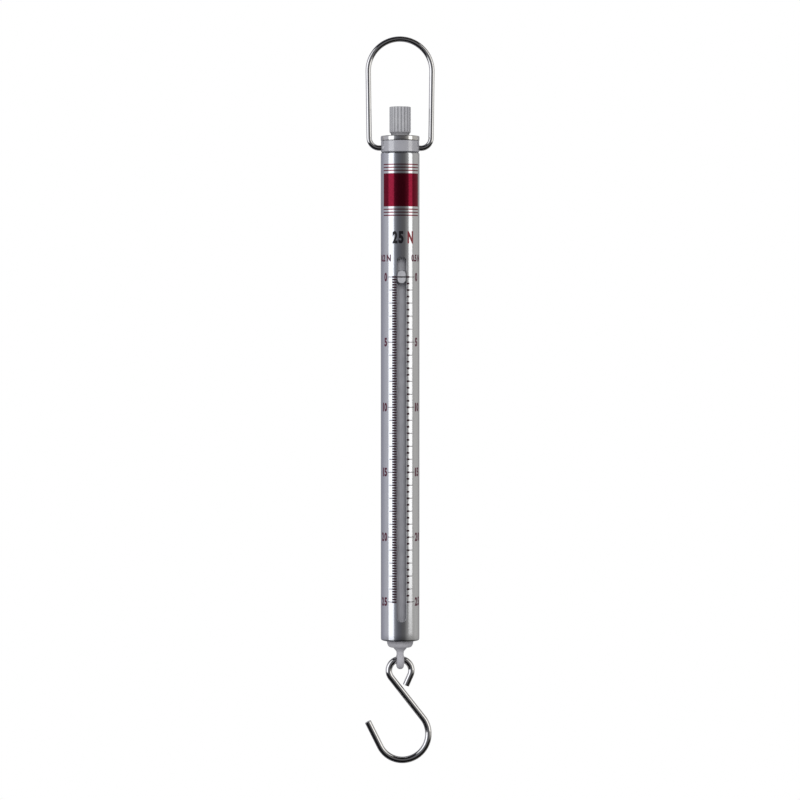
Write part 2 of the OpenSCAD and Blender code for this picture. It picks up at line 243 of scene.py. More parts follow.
def noise(tree, scale, stretch=(1, 1, 1), detail=3.0, roughness=0.5):
    """Noise in object space, stretched along an axis by a small factor there. scale is in cells a metre."""
    coords = node(tree, "TexCoord")
    mapping = node(tree, "Mapping", {"Vector": coords.outputs["Object"], "Scale": stretch})
    inputs = {"Vector": mapping.outputs["Vector"], "Scale": scale, "Detail": detail, "Roughness": roughness}
    return node(tree, "TexNoise", inputs).outputs["Fac"]


def spread(tree, value, low, high, from_low=0.3, from_high=0.7):
    """A value stretched to another range. The first range suits noise."""
    inputs = {"Value": value, "From Min": from_low, "From Max": from_high, "To Min": low, "To Max": high}
    return node(tree, "MapRange", inputs).outputs["Result"]


def tint(tree, fac, dark, light):
    """A colour between two, by a value from 0 to 1."""
    inputs = {"Factor": fac, "A": (*dark, 1), "B": (*light, 1)}
    return node(tree, "Mix", inputs, data_type="RGBA").outputs["Result"]


def multiply(tree, a, b):
    """The product of two colours."""
    inputs = {"Factor": 1.0, "A": a, "B": b}
    return node(tree, "Mix", inputs, data_type="RGBA", blend_type="MULTIPLY").outputs["Result"]


def from_axis(tree):
    """Distance from the Z axis, in metres."""
    coords = node(tree, "TexCoord")
    flat = node(tree, "Mapping", {"Vector": coords.outputs["Object"], "Scale": (1, 1, 0)})
    return node(tree, "VectorMath", {0: flat.outputs["Vector"]}, operation="LENGTH").outputs["Value"]


def bump(tree, shader, fac, depth):
    """Relief of that many metres from a noise value."""
    relief = node(tree, "Bump", {"Strength": 1.0, "Distance": depth, "Height": fac})
    tree.links.new(relief.outputs["Normal"], shader.inputs["Normal"])


def metal(name, dark, light, rough, grain, stretch, depth):
    """Metal with fine grain drawn out along one axis, and slow changes of gloss."""
    patches = 60.0
    mat, tree, shader = material(name)
    fine = noise(tree, grain, stretch, 4.0, 0.6)
    slow = noise(tree, patches)
    low, high = rough
    grain_share = spread(tree, fine, low, (low + high) / 2)
    patch_share = spread(tree, slow, 0, (high - low) / 2)
    total = node(tree, "Math", {0: grain_share, 1: patch_share}, operation="ADD")
    shader.inputs["Metallic"].default_value = 1.0
    tree.links.new(tint(tree, spread(tree, fine, 0, 1), dark, light), shader.inputs["Base Color"])
    tree.links.new(total.outputs["Value"], shader.inputs["Roughness"])
    bump(tree, shader, fine, depth)
    return mat


def plastic(name, dark, light, rough, depth=4e-6, ior=1.46):
    """Moulded plastic with a fine matt texture and faint mottling."""
    texture, mottling = 5200.0, 260.0
    mat, tree, shader = material(name)
    fine = noise(tree, texture, detail=2.0)
    slow = noise(tree, mottling)
    tree.links.new(tint(tree, spread(tree, slow, 0, 1), dark, light), shader.inputs["Base Color"])
    tree.links.new(spread(tree, slow, rough[1], rough[0]), shader.inputs["Roughness"])
    shader.inputs["IOR"].default_value = ior
    bump(tree, shader, fine, depth)
    return mat


def ink(name, colour, rough=(0.30, 0.42), metallic=0.0):
    """Printed ink, a little uneven."""
    blotches, thin_ink = 1500.0, 0.7
    mat, tree, shader = material(name)
    slow = noise(tree, blotches, detail=4.0)
    dark = tuple(c * thin_ink for c in colour)
    tree.links.new(tint(tree, spread(tree, slow, 0, 1), dark, colour), shader.inputs["Base Color"])
    tree.links.new(spread(tree, slow, rough[0], rough[1]), shader.inputs["Roughness"])
    shader.inputs["Metallic"].default_value = metallic
    return mat


def darken_inwards(mat, inner, outer, factor):
    """Paints shade into a material: multiplies its colour by a factor inside one radius from the axis, and by
    1 past another.
    """
    tree = mat.node_tree
    base = tree.nodes["Principled BSDF"].inputs["Base Color"]
    shade = spread(tree, from_axis(tree), factor, 1, inner * MM, outer * MM)
    tree.links.new(multiply(tree, base.links[0].from_socket, shade), base)


# ---------------------------------------------------------------- materials
LENGTHWISE = (1, 1, 0.012)
ROUND_THE_AXIS = (0.05, 0.05, 1)
DRAWN_WIRE = (1, 1, 0.3)
EVEN = (1, 1, 1)

tube_metal = metal(
    "tube_aluminium", (0.70, 0.71, 0.74), (0.80, 0.81, 0.83),
    rough=(0.10, 0.17), grain=4200.0, stretch=LENGTHWISE, depth=1.2e-7)
cap_metal = metal(
    "turned_aluminium", (0.76, 0.75, 0.73), (0.86, 0.85, 0.83),
    rough=(0.05, 0.10), grain=3600.0, stretch=ROUND_THE_AXIS, depth=8e-8)
wire_metal = metal(
    "polished_wire", (0.86, 0.85, 0.84), (0.93, 0.92, 0.91),
    rough=(0.03, 0.06), grain=900.0, stretch=DRAWN_WIRE, depth=1e-8)
spring_metal = metal(
    "spring_wire", (0.36, 0.36, 0.38), (0.52, 0.52, 0.54),
    rough=(0.16, 0.28), grain=3000.0, stretch=EVEN, depth=4e-7)
dark_metal = metal(
    "plain_steel", (0.20, 0.20, 0.21), (0.36, 0.36, 0.37),
    rough=(0.25, 0.40), grain=3000.0, stretch=ROUND_THE_AXIS, depth=6e-7)
brass_metal = metal(
    "turned_brass", (0.60, 0.44, 0.19), (0.74, 0.58, 0.29),
    rough=(0.18, 0.30), grain=3200.0, stretch=ROUND_THE_AXIS, depth=5e-7)

# The ring's IOR is above any real plastic's, because its reflections are too weak without that.
ring_plastic = plastic("ring_plastic", (0.51, 0.51, 0.55), (0.57, 0.57, 0.61), (0.14, 0.22), 1e-6, ior=2.6)
knob_plastic = plastic("knob_plastic", (0.62, 0.62, 0.65), (0.69, 0.69, 0.71), (0.42, 0.55))
nose_plastic = plastic("nose_plastic", (0.64, 0.63, 0.67), (0.72, 0.71, 0.74), (0.35, 0.50))
rod_plastic = plastic("rod_plastic", (0.62, 0.62, 0.66), (0.70, 0.70, 0.74), (0.40, 0.55))
pointer_plastic = plastic("pointer_plastic", (0.54, 0.54, 0.57), (0.66, 0.66, 0.69), (0.35, 0.50), 8e-6)
nylon = plastic("nylon", (0.66, 0.65, 0.60), (0.76, 0.75, 0.70), (0.40, 0.55))

# The knob's grooves get painted shade: their colour is darkened by radius, because the light alone leaves
# them too pale.
GROOVE_BOTTOM_R, RIB_CREST_R, GROOVE_PAINTED_SHADE = 4.16, 4.38, 0.62
darken_inwards(knob_plastic, GROOVE_BOTTOM_R, RIB_CREST_R, GROOVE_PAINTED_SHADE)

black_ink = ink("black_ink", (0.012, 0.010, 0.014))
dark_red_ink = ink("dark_red_ink", (0.045, 0.008, 0.018))
figure_ink = ink("figure_ink", (0.15, 0.014, 0.05))
bright_red_ink = ink("bright_red_ink", (0.36, 0.030, 0.045))
red_lacquer = ink("red_lacquer", (0.26, 0.014, 0.038), rough=(0.10, 0.16), metallic=1.0)

CAD_LOOKS = {
    "swivel_ring": ring_plastic,
    "thrust_washer": nylon,
    "tube_plug": cap_metal,
    "plug_screw": dark_metal,
    "knob_insert": brass_metal,
    "tare_spindle": dark_metal,
    "key_pin": dark_metal,
    "spring_top_anchor": brass_metal,
    "spring_bottom_anchor": brass_metal,
    "guide_piston": nylon,
    "pull_rod": rod_plastic,
    "pointer_line": black_ink,
    "rod_eye": nose_plastic,
}
for node_name, look in CAD_LOOKS.items():
    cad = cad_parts[node_name]
    if not cad.material_slots:
        cad.data.materials.append(look)
    for material_slot in cad.material_slots:
        material_slot.material = look


# ---------------------------------------------------------------- bail and hook
def build_bail():
    """The bail: an arch, two legs that spread a little, and two corners into the ring's pivot holes."""
    r, bend, corner, lean, pin_x = 1.1, 13.2, 4.2, 0.8, 5.5
    across, up = leaning(lean)
    arch = np.array([0.0, r - bend])
    leg_top = on_circle(arch, bend, -lean)
    corner_z = PIVOT_Z + corner
    leg_bottom = leg_top - (leg_top[1] - corner_z + corner * across) / up * leaning(lean)
    corner_centre = np.array([leg_bottom[0] - corner * up, corner_z])
    half = line((pin_x, PIVOT_Z), (corner_centre[0], PIVOT_Z))
    half += arc(corner_centre, corner, -90, -lean)
    half += line(leg_bottom, leg_top)
    half += arc(arch, bend, -lean, 90)
    other = [np.array([-p[0], p[1]]) for p in reversed(half[:-1])]
    verts, faces = wire(half + other, r)
    add_piece("bail_wire", verts, faces, "bail", wire_metal, ["bail"])


def build_hook():
    """The hook: a short tail, a loop through the eye, the shank, the open bend and the arm."""
    r, loop_r, bend_r, arm_r, hook_span, shift = 1.35, 4.7, 10.8, 10.4, 26.5, 1.0
    arm_lean, arm_l, tail_lean, tail_l = 26.3, 11.5, 24.0, 4.7
    loop = np.array([0.0, HOOK_TOP - r - loop_r])
    bend = loop + np.array([shift, -hook_span])
    arm = bend - np.array([0.0, bend_r - arm_r])
    gap = np.linalg.norm(bend - loop)
    lean = math.degrees(math.atan2(shift, hook_span) + math.asin((loop_r + bend_r) / gap))
    tail_start = on_circle(loop, loop_r, -tail_lean)
    tail_end = tail_start - tail_l * leaning(tail_lean)
    arm_start = on_circle(arm, arm_r, 180 + arm_lean)
    arm_end = arm_start + arm_l * leaning(-arm_lean)
    path = line(tail_end, tail_start, 0.7)
    path += arc(loop, loop_r, -tail_lean, 180 + lean, 4)
    path += line(on_circle(loop, loop_r, 180 + lean), on_circle(bend, bend_r, lean))
    path += arc(bend, bend_r, lean, -90)
    path += arc(arm, arm_r, 270, 180 + arm_lean)
    path += line(arm_start, arm_end)
    verts, faces = wire(path, r, 40, 0.12)
    add_piece("load_hook", verts, faces, "hook", wire_metal, ["hook"])


# ---------------------------------------------------------------- tube
SLOT_COLUMNS, WHOLE_COLUMNS = 24, 200
SLOT_CHAMFER, SLOT_MARGIN = 0.03, 4.0
SLOT_OUTER, SLOT_INNER = SLOT_R + SLOT_CHAMFER, SLOT_R


def tube_profile():
    """The levels of the tube's section: up the outside, over the top, down the bore, round the lip and foot.

    A level is (side, kind, value). A plain or a slot level is a height, and the slot's opening cuts the slot
    ones. Low and high levels bend round the slot's two ends. A turn has a side and a point (radius, z)."""
    foot_edge, top_edge = 0.7, 0.9
    foot, top = TUBE_BOTTOM + foot_edge, TUBE_TOP - top_edge
    below, above = SLOT_LOW - SLOT_MARGIN, SLOT_HIGH + SLOT_MARGIN
    outside = [("plain", foot + (below - foot) * t) for t in (0, 0.5)]
    outside += [("low", t) for t in (0, 0.34, 0.67, 1)]
    outside += [("slot", SLOT_LOW + (SLOT_HIGH - SLOT_LOW) * t) for t in np.linspace(0, 1, 13)[1:-1]]
    outside += [("high", t) for t in (0, 0.34, 0.67, 1)]
    outside += [("plain", above + (top - above) * t) for t in (0.25, 0.5, 0.75, 1)]
    top_round = rounded((TUBE_R - top_edge, top), top_edge, 0, 90, 8)[1:]
    foot_round = rounded((TUBE_R - foot_edge, foot), foot_edge, -90, 0)[:-1]
    lip = [(BORE_R, TUBE_BOTTOM + LIP_T), (LIP_R, TUBE_BOTTOM + LIP_T), (LIP_R, TUBE_BOTTOM)]
    profile = [("out", kind, value) for kind, value in outside]
    profile += [("turn", "out", p) for p in top_round] + [("turn", "in", (BORE_R, TUBE_TOP))]
    profile += [("in", kind, value) for kind, value in reversed(outside)]
    profile += [("turn", "in", p) for p in lip] + [("turn", "out", p) for p in foot_round]
    return profile


def tube_columns():
    """Columns of the tube as (outer angle, inner angle, place across the slot from -1 to 1, or None)."""
    columns = []
    for i in range(SLOT_COLUMNS + 1):
        c = -math.cos(math.pi * i / SLOT_COLUMNS)
        columns.append((math.asin(c * SLOT_OUTER / TUBE_R), math.asin(c * SLOT_INNER / BORE_R), c))
    out_edge, in_edge = columns[-1][:2]
    for k in range(1, WHOLE_COLUMNS):
        t = k / WHOLE_COLUMNS
        columns.append((out_edge + (TURN - 2 * out_edge) * t, in_edge + (TURN - 2 * in_edge) * t, None))
    return columns


def tube_point(level, column):
    """The point where a level meets a column, or None in the slot's opening."""
    side, kind, value = level
    out_angle, in_angle, across = column
    if side == "turn":
        outer = kind == "out"
        r, z = value
    else:
        outer = side == "out"
        r = TUBE_R if outer else BORE_R
        half = SLOT_OUTER if outer else SLOT_INNER
        rise = 0.0 if across is None else half * math.sqrt(max(0.0, 1 - across * across))
        if kind == "slot" and across is not None and abs(across) < 1:
            return None
        if kind == "low":
            start = SLOT_LOW - SLOT_MARGIN
            z = start + (SLOT_LOW - rise - start) * value
        elif kind == "high":
            start = SLOT_HIGH + rise
            z = start + (SLOT_HIGH + SLOT_MARGIN - start) * value
        else:
            z = value
    angle = out_angle if outer else in_angle
    return r * math.sin(angle), -r * math.cos(angle), z


def in_opening(a, b):
    """Whether the band between two neighbouring levels is open in the slot's columns."""
    kinds = {a[1], b[1]}
    return a[0] == b[0] and kinds <= {"low", "slot", "high"} and (len(kinds) == 2 or kinds == {"slot"})


def add_slot_wall(profile, verts, faces, index):
    """Joins the slot's outer edge to its inner edge all round, with a fine chamfer."""
    def pair(kind, value):
        return profile.index(("out", kind, value)), profile.index(("in", kind, value))

    heights = [value for side, kind, value in profile if side == "out" and kind == "slot"]
    ring = [(i, *pair("high", 0)) for i in range(SLOT_COLUMNS + 1)]
    ring += [(SLOT_COLUMNS, *pair("slot", z)) for z in reversed(heights)]
    ring += [(i, *pair("low", 1)) for i in range(SLOT_COLUMNS, -1, -1)]
    ring += [(0, *pair("slot", z)) for z in heights]
    wall = []
    for a, _, inner in ring:
        x, _, z = verts[index[a, inner]]
        wall.append(len(verts))
        verts.append((x, -math.sqrt(TUBE_R**2 - x * x) + SLOT_CHAMFER, z))
    for k, (a, outer, inner) in enumerate(ring):
        n = (k + 1) % len(ring)
        b, next_outer, next_inner = ring[n]
        faces.append([index[a, outer], index[b, next_outer], wall[n], wall[k]])
        faces.append([wall[k], wall[n], index[b, next_inner], index[a, inner]])


def cut_screw_hole(tube):
    """Cuts the hole for the plug's screw through the tube's back wall."""
    screw_r, middle_y, depth = 1.05, 7.5, 6
    bpy.ops.mesh.primitive_cylinder_add(
        vertices=48, radius=screw_r * MM, depth=depth * MM,
        location=(0, middle_y * MM, SCREW_Z * MM), rotation=(math.pi / 2, 0, 0))
    cutter = bpy.context.object
    hole = tube.modifiers.new("screw_hole", "BOOLEAN")
    hole.operation, hole.object, hole.solver = "DIFFERENCE", cutter, "EXACT"
    tube.data = bpy.data.meshes.new_from_object(tube.evaluated_get(bpy.context.evaluated_depsgraph_get()))
    tube.modifiers.clear()
    bpy.data.objects.remove(cutter)
    dress(tube.data, tube_metal)


def build_tube():
    """The tube as one closed mesh: slot columns in front, whole columns round the rest."""
    profile, columns = tube_profile(), tube_columns()
    verts, index = [], {}
    for a, column in enumerate(columns):
        for j, level in enumerate(profile):
            point = tube_point(level, column)
            if point:
                index[a, j] = len(verts)
                verts.append(point)
    faces = []
    for a in range(len(columns)):
        b = (a + 1) % len(columns)
        for j in range(len(profile)):
            n = (j + 1) % len(profile)
            if a < SLOT_COLUMNS and in_opening(profile[j], profile[n]):
                continue
            faces.append([index[a, j], index[b, j], index[b, n], index[a, n]])
    add_slot_wall(profile, verts, faces, index)
    tube = add_piece("tube_shell", verts, faces, None, tube_metal, ["scale_tube"])
    cut_screw_hole(tube)
    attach(tube, "tube_body")


# ---------------------------------------------------------------- turned and moulded pieces
def build_cap():
    """The polished cap: a rim above the ring, the neck that the ring turns on, and a shank into the plug."""
    neck_r, shank_r, bore_r, washer_r, rim_r = 5.0, 3.48, 2.05, 3.65, 8.0
    edge, foot_edge, washer_edge, gap = 0.4, 0.15, 0.1, 0.05
    rim_bottom = RING_TOP + gap
    neck_bottom = TUBE_TOP - gap
    recess = RIM_TOP - 0.5
    outline = [(bore_r, SHANK_BOTTOM), (shank_r, SHANK_BOTTOM), (shank_r, neck_bottom)]
    outline += [(neck_r, neck_bottom), (neck_r, rim_bottom), (rim_r - foot_edge, rim_bottom)]
    outline += [(rim_r - 0.04, rim_bottom + 0.04), (rim_r, rim_bottom + foot_edge)]
    outline += rounded((rim_r - edge, RIM_TOP - edge), edge, 0, 90, 8)
    outline += [(washer_r + washer_edge, RIM_TOP), (washer_r, RIM_TOP - washer_edge)]
    outline += [(washer_r, recess), (bore_r, recess)]
    verts, faces = lathe(outline)
    add_piece("polished_cap", verts, faces, "tube_body", cap_metal, ["head_cap"])


def build_nose():
    """The nose: a domed bush in the tube's foot, with the rod's bore through it."""
    nose_r, tip_r, body_r, edge, play = 5.5, 4.1, 6.98, 0.2, 0.05
    dome_steps = 18
    dome = TUBE_BOTTOM - 0.2
    outline = [(ROD_R + play, BUSH_TOP), (body_r - edge, BUSH_TOP), (body_r, BUSH_TOP - edge)]
    outline += [(body_r, TUBE_BOTTOM + LIP_T), (nose_r, TUBE_BOTTOM + LIP_T)]
    for i in range(dome_steps + 1):
        a = math.radians(90 * i / dome_steps)
        outline.append((tip_r + (nose_r - tip_r) * math.cos(a), dome - (dome - NOSE_TIP) * math.sin(a)))
    outline += [(ROD_R + play + 0.1, NOSE_TIP), (ROD_R + play, NOSE_TIP + 0.1)]
    verts, faces = lathe(outline)
    add_piece("nose_bush", verts, faces, "tube_body", nose_plastic, ["end_bush"])


def build_knob():
    """The knob: ribs round its side, which run out into a smooth neck at the foot."""
    ribs, samples = 19, 20
    r, neck_r, bore_r, top_r, edge = 4.4, 3.8, 2.99, 3.6, 0.25
    groove_r, groove_centre_r, soft, phase = 0.34, 4.46, 0.035, math.radians(7)
    foot = KNOB_BOTTOM + 0.01
    neck = KNOB_BOTTOM + 0.85
    bore_top = KNOB_BOTTOM + 10.0
    shoulder = neck + 1.2
    uncut = 9.0

    def rib(angle, base, z):
        """The side's radius at an angle, with the round grooves blended softly into the crests."""
        if base < 4.0 or z < neck:
            return base
        pitch = TURN / ribs
        offset = (angle - phase + pitch / 2) % pitch - pitch / 2
        across = groove_centre_r * math.sin(offset)
        cut = uncut
        if abs(across) < groove_r:
            cut = groove_centre_r * math.cos(offset) - math.sqrt(groove_r**2 - across**2)
        blend = max(soft - abs(base - cut), 0.0) / soft
        return min(base, cut) - blend * blend * soft / 4

    outline = [(0, bore_top), (bore_r, bore_top), (bore_r, foot), (neck_r, foot), (neck_r, neck)]
    outline += [(neck_r + 0.6 * t, neck + 0.75 * t) for t in (0.3, 0.45, 0.6, 0.75, 0.9)]
    outline += [(r, neck + 0.85), (r, shoulder)]
    outline += [(r, shoulder + (KNOB_TOP - edge - shoulder) * t) for t in (0.25, 0.5, 0.75, 1)]
    outline += rounded((r - edge, KNOB_TOP - edge), edge, 0, 90)[1:]
    outline += [(top_r, KNOB_TOP), (0, KNOB_TOP)]
    verts, faces = lathe(outline, ribs * samples, rib)
    add_piece("ribbed_knob", verts, faces, "tare_knob", knob_plastic, ["tare_knob"], 40)


def build_pointer():
    """The button: a rounded oblong with a front that follows the tube, a groove for the line, and a peg."""
    width, height, corner, front_r, seat = 3.4, POINTER_TOP - POINTER_BOTTOM, 1.65, 8.3, -3.35
    groove, groove_depth, soft, columns = 0.26, 0.32, 0.22, 28
    straight_w, straight_h = width / 2 - corner, height / 2 - corner
    heights = [groove - 0.004, groove + 0.004, 0.4, 0.6, 0.85, straight_h, height / 2]
    heights += [straight_h + corner * math.sin(math.radians(a)) for a in range(8, 91, 6)]
    rows = sorted({round(side * z, 5) for side in (-1, 1) for z in heights})

    def front_drop(x, z):
        """How far the front lies behind its round face: at the soft edge, and in the groove."""
        over_x, over_z = max(0.0, abs(x) - straight_w), max(0.0, abs(z) - straight_h)
        inset = corner - math.hypot(over_x, over_z) if over_x or over_z else corner
        inset = min(inset, width / 2 - abs(x), height / 2 - abs(z))
        drop = 0.0
        if inset < soft:
            drop = soft - math.sqrt(max(0.0, soft**2 - (soft - max(inset, 0.0)) ** 2))
        return max(drop, groove_depth) if abs(z) < groove else drop

    verts, grid = [], []
    for z in rows:
        over = max(0.0, abs(z) - straight_h)
        half = straight_w + math.sqrt(max(0.0, corner**2 - over**2))
        grid.append(range(len(verts), len(verts) + columns + 1))
        for k in range(columns + 1):
            x = half * -math.cos(math.pi * k / columns)
            verts.append((x, -math.sqrt(front_r**2 - x * x) + front_drop(x, z), ZERO_Z + z))
    faces = []
    for low, high in zip(grid, grid[1:]):
        for k in range(columns):
            faces.append((low[k], low[k + 1], high[k + 1], high[k]))
    rim = list(grid[0]) + [row[-1] for row in grid[1:]]
    rim += list(grid[-1])[-2::-1] + [row[0] for row in grid[-2:0:-1]]
    back = range(len(verts), len(verts) + len(rim))
    verts += [(verts[v][0], seat, verts[v][2]) for v in rim]
    middle = len(verts)
    verts.append((0.0, seat, ZERO_Z))
    for k in range(len(rim)):
        n = (k + 1) % len(rim)
        faces.append((rim[k], rim[n], back[n], back[k]))
        faces.append((back[k], back[n], middle))
    add_piece(
        "pointer_cap", verts, faces, "pull_rod", pointer_plastic, ["pointer_button"], 35)


def build_spring():
    """The spring, made in short lengths."""
    wire_r, coil_r, turns, steps, sides, parts = 0.45, 5.15, 31, 36, 10, 8
    reach = SPRING_TOP - SPRING_BOTTOM
    count = int(round(turns * steps / parts))

    for part in range(parts):
        t0, t1 = part / parts, (part + 1) / parts
        verts = []
        for i in range(count + 1):
            t = t0 + (t1 - t0) * i / count
            turn = TURN * turns * t
            z = SPRING_TOP - wire_r - (reach - 2 * wire_r) * t
            for k in range(sides):
                a = TURN * k / sides
                r = coil_r + wire_r * math.cos(a)
                verts.append((r * math.cos(turn), r * math.sin(turn), z + wire_r * math.sin(a)))
        faces = skin(count + 1, sides)
        faces.append(tuple(range(sides)))
        faces.append(tuple(count * sides + k for k in range(sides)))
        replaced = ["main_spring"] if part == 0 else []
        piece = add_piece(
            f"spring_coils_{part + 1}", verts, faces, None, spring_metal, replaced, 50)
        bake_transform(piece)


# ---------------------------------------------------------------- prints on the tube
PRINT_IN, PRINT_OUT = TUBE_R + 0.006, TUBE_R + 0.028
MAX_STEP = 0.35


class Print:
    """Flat shapes on the unrolled tube, x along its girth from the front and y up, wrapped at the end."""

    def __init__(self):
        self.bm = bmesh.new()

    def box(self, x0, x1, y0, y1):
        """A rectangle, cut into steps narrow enough to follow the tube."""
        steps = max(1, math.ceil((x1 - x0) / MAX_STEP))
        low = [self.bm.verts.new((x0 + (x1 - x0) * i / steps, y0, 0)) for i in range(steps + 1)]
        high = [self.bm.verts.new((v.co.x, y1, 0)) for v in low]
        for i in range(steps):
            self.bm.faces.new((low[i], low[i + 1], high[i + 1], high[i]))

    def text(self, words, x, y, height, width, bold):
        """Words whose left end is at x and middle at y, drawn that tall and that wide."""
        curve = bpy.data.curves.new("words", "FONT")
        curve.body, curve.resolution_u, curve.offset = words, 5, bold
        obj = bpy.data.objects.new("words", curve)
        scene.collection.objects.link(obj)
        mesh = bpy.data.meshes.new_from_object(obj.evaluated_get(bpy.context.evaluated_depsgraph_get()))
        bpy.data.objects.remove(obj)
        co = np.array([v.co for v in mesh.vertices])
        low, high = co.min(0), co.max(0)
        for v in mesh.vertices:
            v.co.x = x + (v.co.x - low[0]) / (high[0] - low[0]) * width
            v.co.y = y + ((v.co.y - low[1]) / (high[1] - low[1]) - 0.5) * height
            v.co.z = 0
        part = bmesh.new()
        part.from_mesh(mesh)
        bpy.data.meshes.remove(mesh)
        bmesh.ops.remove_doubles(part, verts=part.verts, dist=1e-4)
        cut = x + MAX_STEP
        while cut < x + width:
            whole = part.verts[:] + part.edges[:] + part.faces[:]
            bmesh.ops.bisect_plane(part, geom=whole, plane_co=(cut, 0, 0), plane_no=(1, 0, 0))
            cut += MAX_STEP
        copied = bpy.data.meshes.new("words")
        part.to_mesh(copied)
        part.free()
        self.bm.from_mesh(copied)
        bpy.data.meshes.remove(copied)

    def wrap(self, name, look):
        """Gives the shapes their thickness, bends them round the tube, and makes a piece of them."""
        made = bmesh.ops.extrude_face_region(self.bm, geom=self.bm.faces[:], use_keep_orig=True)
        outer = {g for g in made["geom"] if isinstance(g, bmesh.types.BMVert)}
        for v in self.bm.verts:
            r, angle = (PRINT_OUT if v in outer else PRINT_IN), v.co.x / TUBE_R
            v.co = (r * MM * math.sin(angle), -r * MM * math.cos(angle), v.co.y * MM)
        bmesh.ops.recalc_face_normals(self.bm, faces=self.bm.faces)
        mesh = bpy.data.meshes.new(name)
        self.bm.to_mesh(mesh)
        self.bm.free()
        finish_piece(name, mesh, "tube_body", look)


def girth(degrees):
    """Distance round the tube from its front, in mm."""
    return math.radians(degrees) * TUBE_R


def build_divisions():
    """A thick mark for each division beside the slot, and a thin line on outwards from each whole newton."""
    near, mark_h, line_h = 14.9, 0.76, 0.26
    # Side, newtons a division, end of its mark in degrees, then two kinds of line: every how many divisions
    # it comes, and its end in degrees.
    scales = ((-1, 0.2, 28.6, 5, 38.5, 25, 43.5), (1, 0.5, 23.6, 2, 34.3, 10, 42.4))
    divisions = Print()
    for side, newtons, mark_end, every, line_end, every_five, long_end in scales:
        for i in range(round(RANGE / newtons) + 1):
            z = ZERO_Z - i * newtons * SPAN_PER_NEWTON
            x0, x1 = sorted((girth(side * near), girth(side * mark_end)))
            divisions.box(x0, x1, z - mark_h / 2, z + mark_h / 2)
            if i % every == 0:
                end = long_end if i % every_five == 0 else line_end
                x0, x1 = sorted((girth(side * mark_end), girth(side * end)))
                divisions.box(x0, x1, z - line_h / 2, z + line_h / 2)
    divisions.wrap("scale_ticks", dark_red_ink)


def build_figures():
    """The figures 0 to 25 in fives, down both sides."""
    digit_w, one_w, digit_gap, digit_h, bold = 1.6, 0.75, 0.38, 3.6, 0.045
    left_end, right_start = girth(-46.9), girth(45.2)
    figures = Print()
    for value in range(0, RANGE + 1, 5):
        z = ZERO_Z - value * SPAN_PER_NEWTON
        widths = [one_w if digit == "1" else digit_w for digit in str(value)]
        whole = sum(widths) + digit_gap * (len(widths) - 1)
        for x in (left_end - whole, right_start):
            for digit, width in zip(str(value), widths):
                figures.text(digit, x, z, digit_h, width, bold)
                x += width + digit_gap
    figures.wrap("scale_figures", figure_ink)


def build_titles():
    """The range with its unit, and below it the value of one division on each side."""
    z, height, digit_w, unit_w, bold = TUBE_TOP - 35.2, 5.1, 2.15, 2.65, 0.05
    figures = Print()
    figures.text("2", girth(-27.6), z, height, digit_w, bold)
    figures.text("5", girth(-9.8), z, height, digit_w, bold)
    figures.wrap("range_figures", black_ink)
    unit = Print()
    unit.text("N", girth(17.8), z, height, unit_w, bold)
    unit.wrap("range_unit", bright_red_ink)
    small_z, small_h, small_bold = TUBE_TOP - 43.7, 2.9, 0.04
    small = Print()
    small.text("0.2 N", girth(-80), small_z, small_h, girth(47), small_bold)
    small.text("0.5 N", girth(31), small_z, small_h, girth(39.8), small_bold)
    small.wrap("division_marks", figure_ink)


def build_panel():
    """A plain red panel round the front, with three thin lines above it and three below."""
    edge, top, bottom = girth(62), TUBE_TOP - 8.9, TUBE_TOP - 22.5
    line_h, first_gap, pitch = 0.42, 0.95, 1.25
    panel = Print()
    panel.box(-edge, edge, bottom, top)
    for k in range(3):
        gap = first_gap + pitch * k
        panel.box(-edge, edge, top + gap, top + gap + line_h)
        panel.box(-edge, edge, bottom - gap - line_h, bottom - gap)
    panel.wrap("red_panel", red_lacquer)


# ---------------------------------------------------------------- camera, light and floor, in metres
CAMERA_AZIMUTH, CAMERA_ELEVATION, CAMERA_DISTANCE = -4.6, 1.8, 1.2
AIM = Vector((-0.00005, 0.0, -0.14787))

# What the metal sees round it: azimuth from the camera in degrees, and colour.
WALLS = (
    (-180, (0.27, 0.27, 0.30)), (-146, (0.30, 0.30, 0.34)), (-130, (0.32, 0.32, 0.37)),
    (-117, (0.38, 0.38, 0.43)), (-97, (0.47, 0.47, 0.52)), (-81, (0.50, 0.50, 0.54)),
    (-38, (0.40, 0.41, 0.45)), (-27, (0.22, 0.23, 0.26)), (-21, (0.16, 0.165, 0.185)),
    (-9, (0.115, 0.118, 0.135)), (10, (0.105, 0.103, 0.108)), (26, (0.12, 0.118, 0.12)),
    (34, (0.19, 0.187, 0.186)), (44, (0.30, 0.295, 0.29)), (60, (0.42, 0.415, 0.40)),
    (87, (0.45, 0.44, 0.42)), (97, (0.50, 0.49, 0.47)), (127, (0.47, 0.46, 0.44)),
    (142, (0.36, 0.35, 0.34)), (180, (0.27, 0.27, 0.30)),
)
HAZE = (0.29, 0.29, 0.30)
BLACK, DARK, DIM, FULL = (0, 0, 0), (0.03, 0.03, 0.03), (0.45, 0.45, 0.45), (1, 1, 1)


def outwards(azimuth, elevation):
    """The direction from the scale at an azimuth from its front and an elevation, in degrees."""
    a, e = math.radians(azimuth), math.radians(elevation)
    return Vector((math.sin(a) * math.cos(e), -math.cos(a) * math.cos(e), math.sin(e)))


def build_camera():
    data = bpy.data.cameras.new("camera")
    data.sensor_width = 36
    data.lens = 130.4
    data.clip_start, data.clip_end = 0.1, 50
    camera = bpy.data.objects.new("camera", data)
    scene.collection.objects.link(camera)
    back = outwards(CAMERA_AZIMUTH, CAMERA_ELEVATION)
    camera.location = AIM + back * CAMERA_DISTANCE
    camera.rotation_euler = (-back).to_track_quat("-Z", "Y").to_euler()
    scene.camera = camera


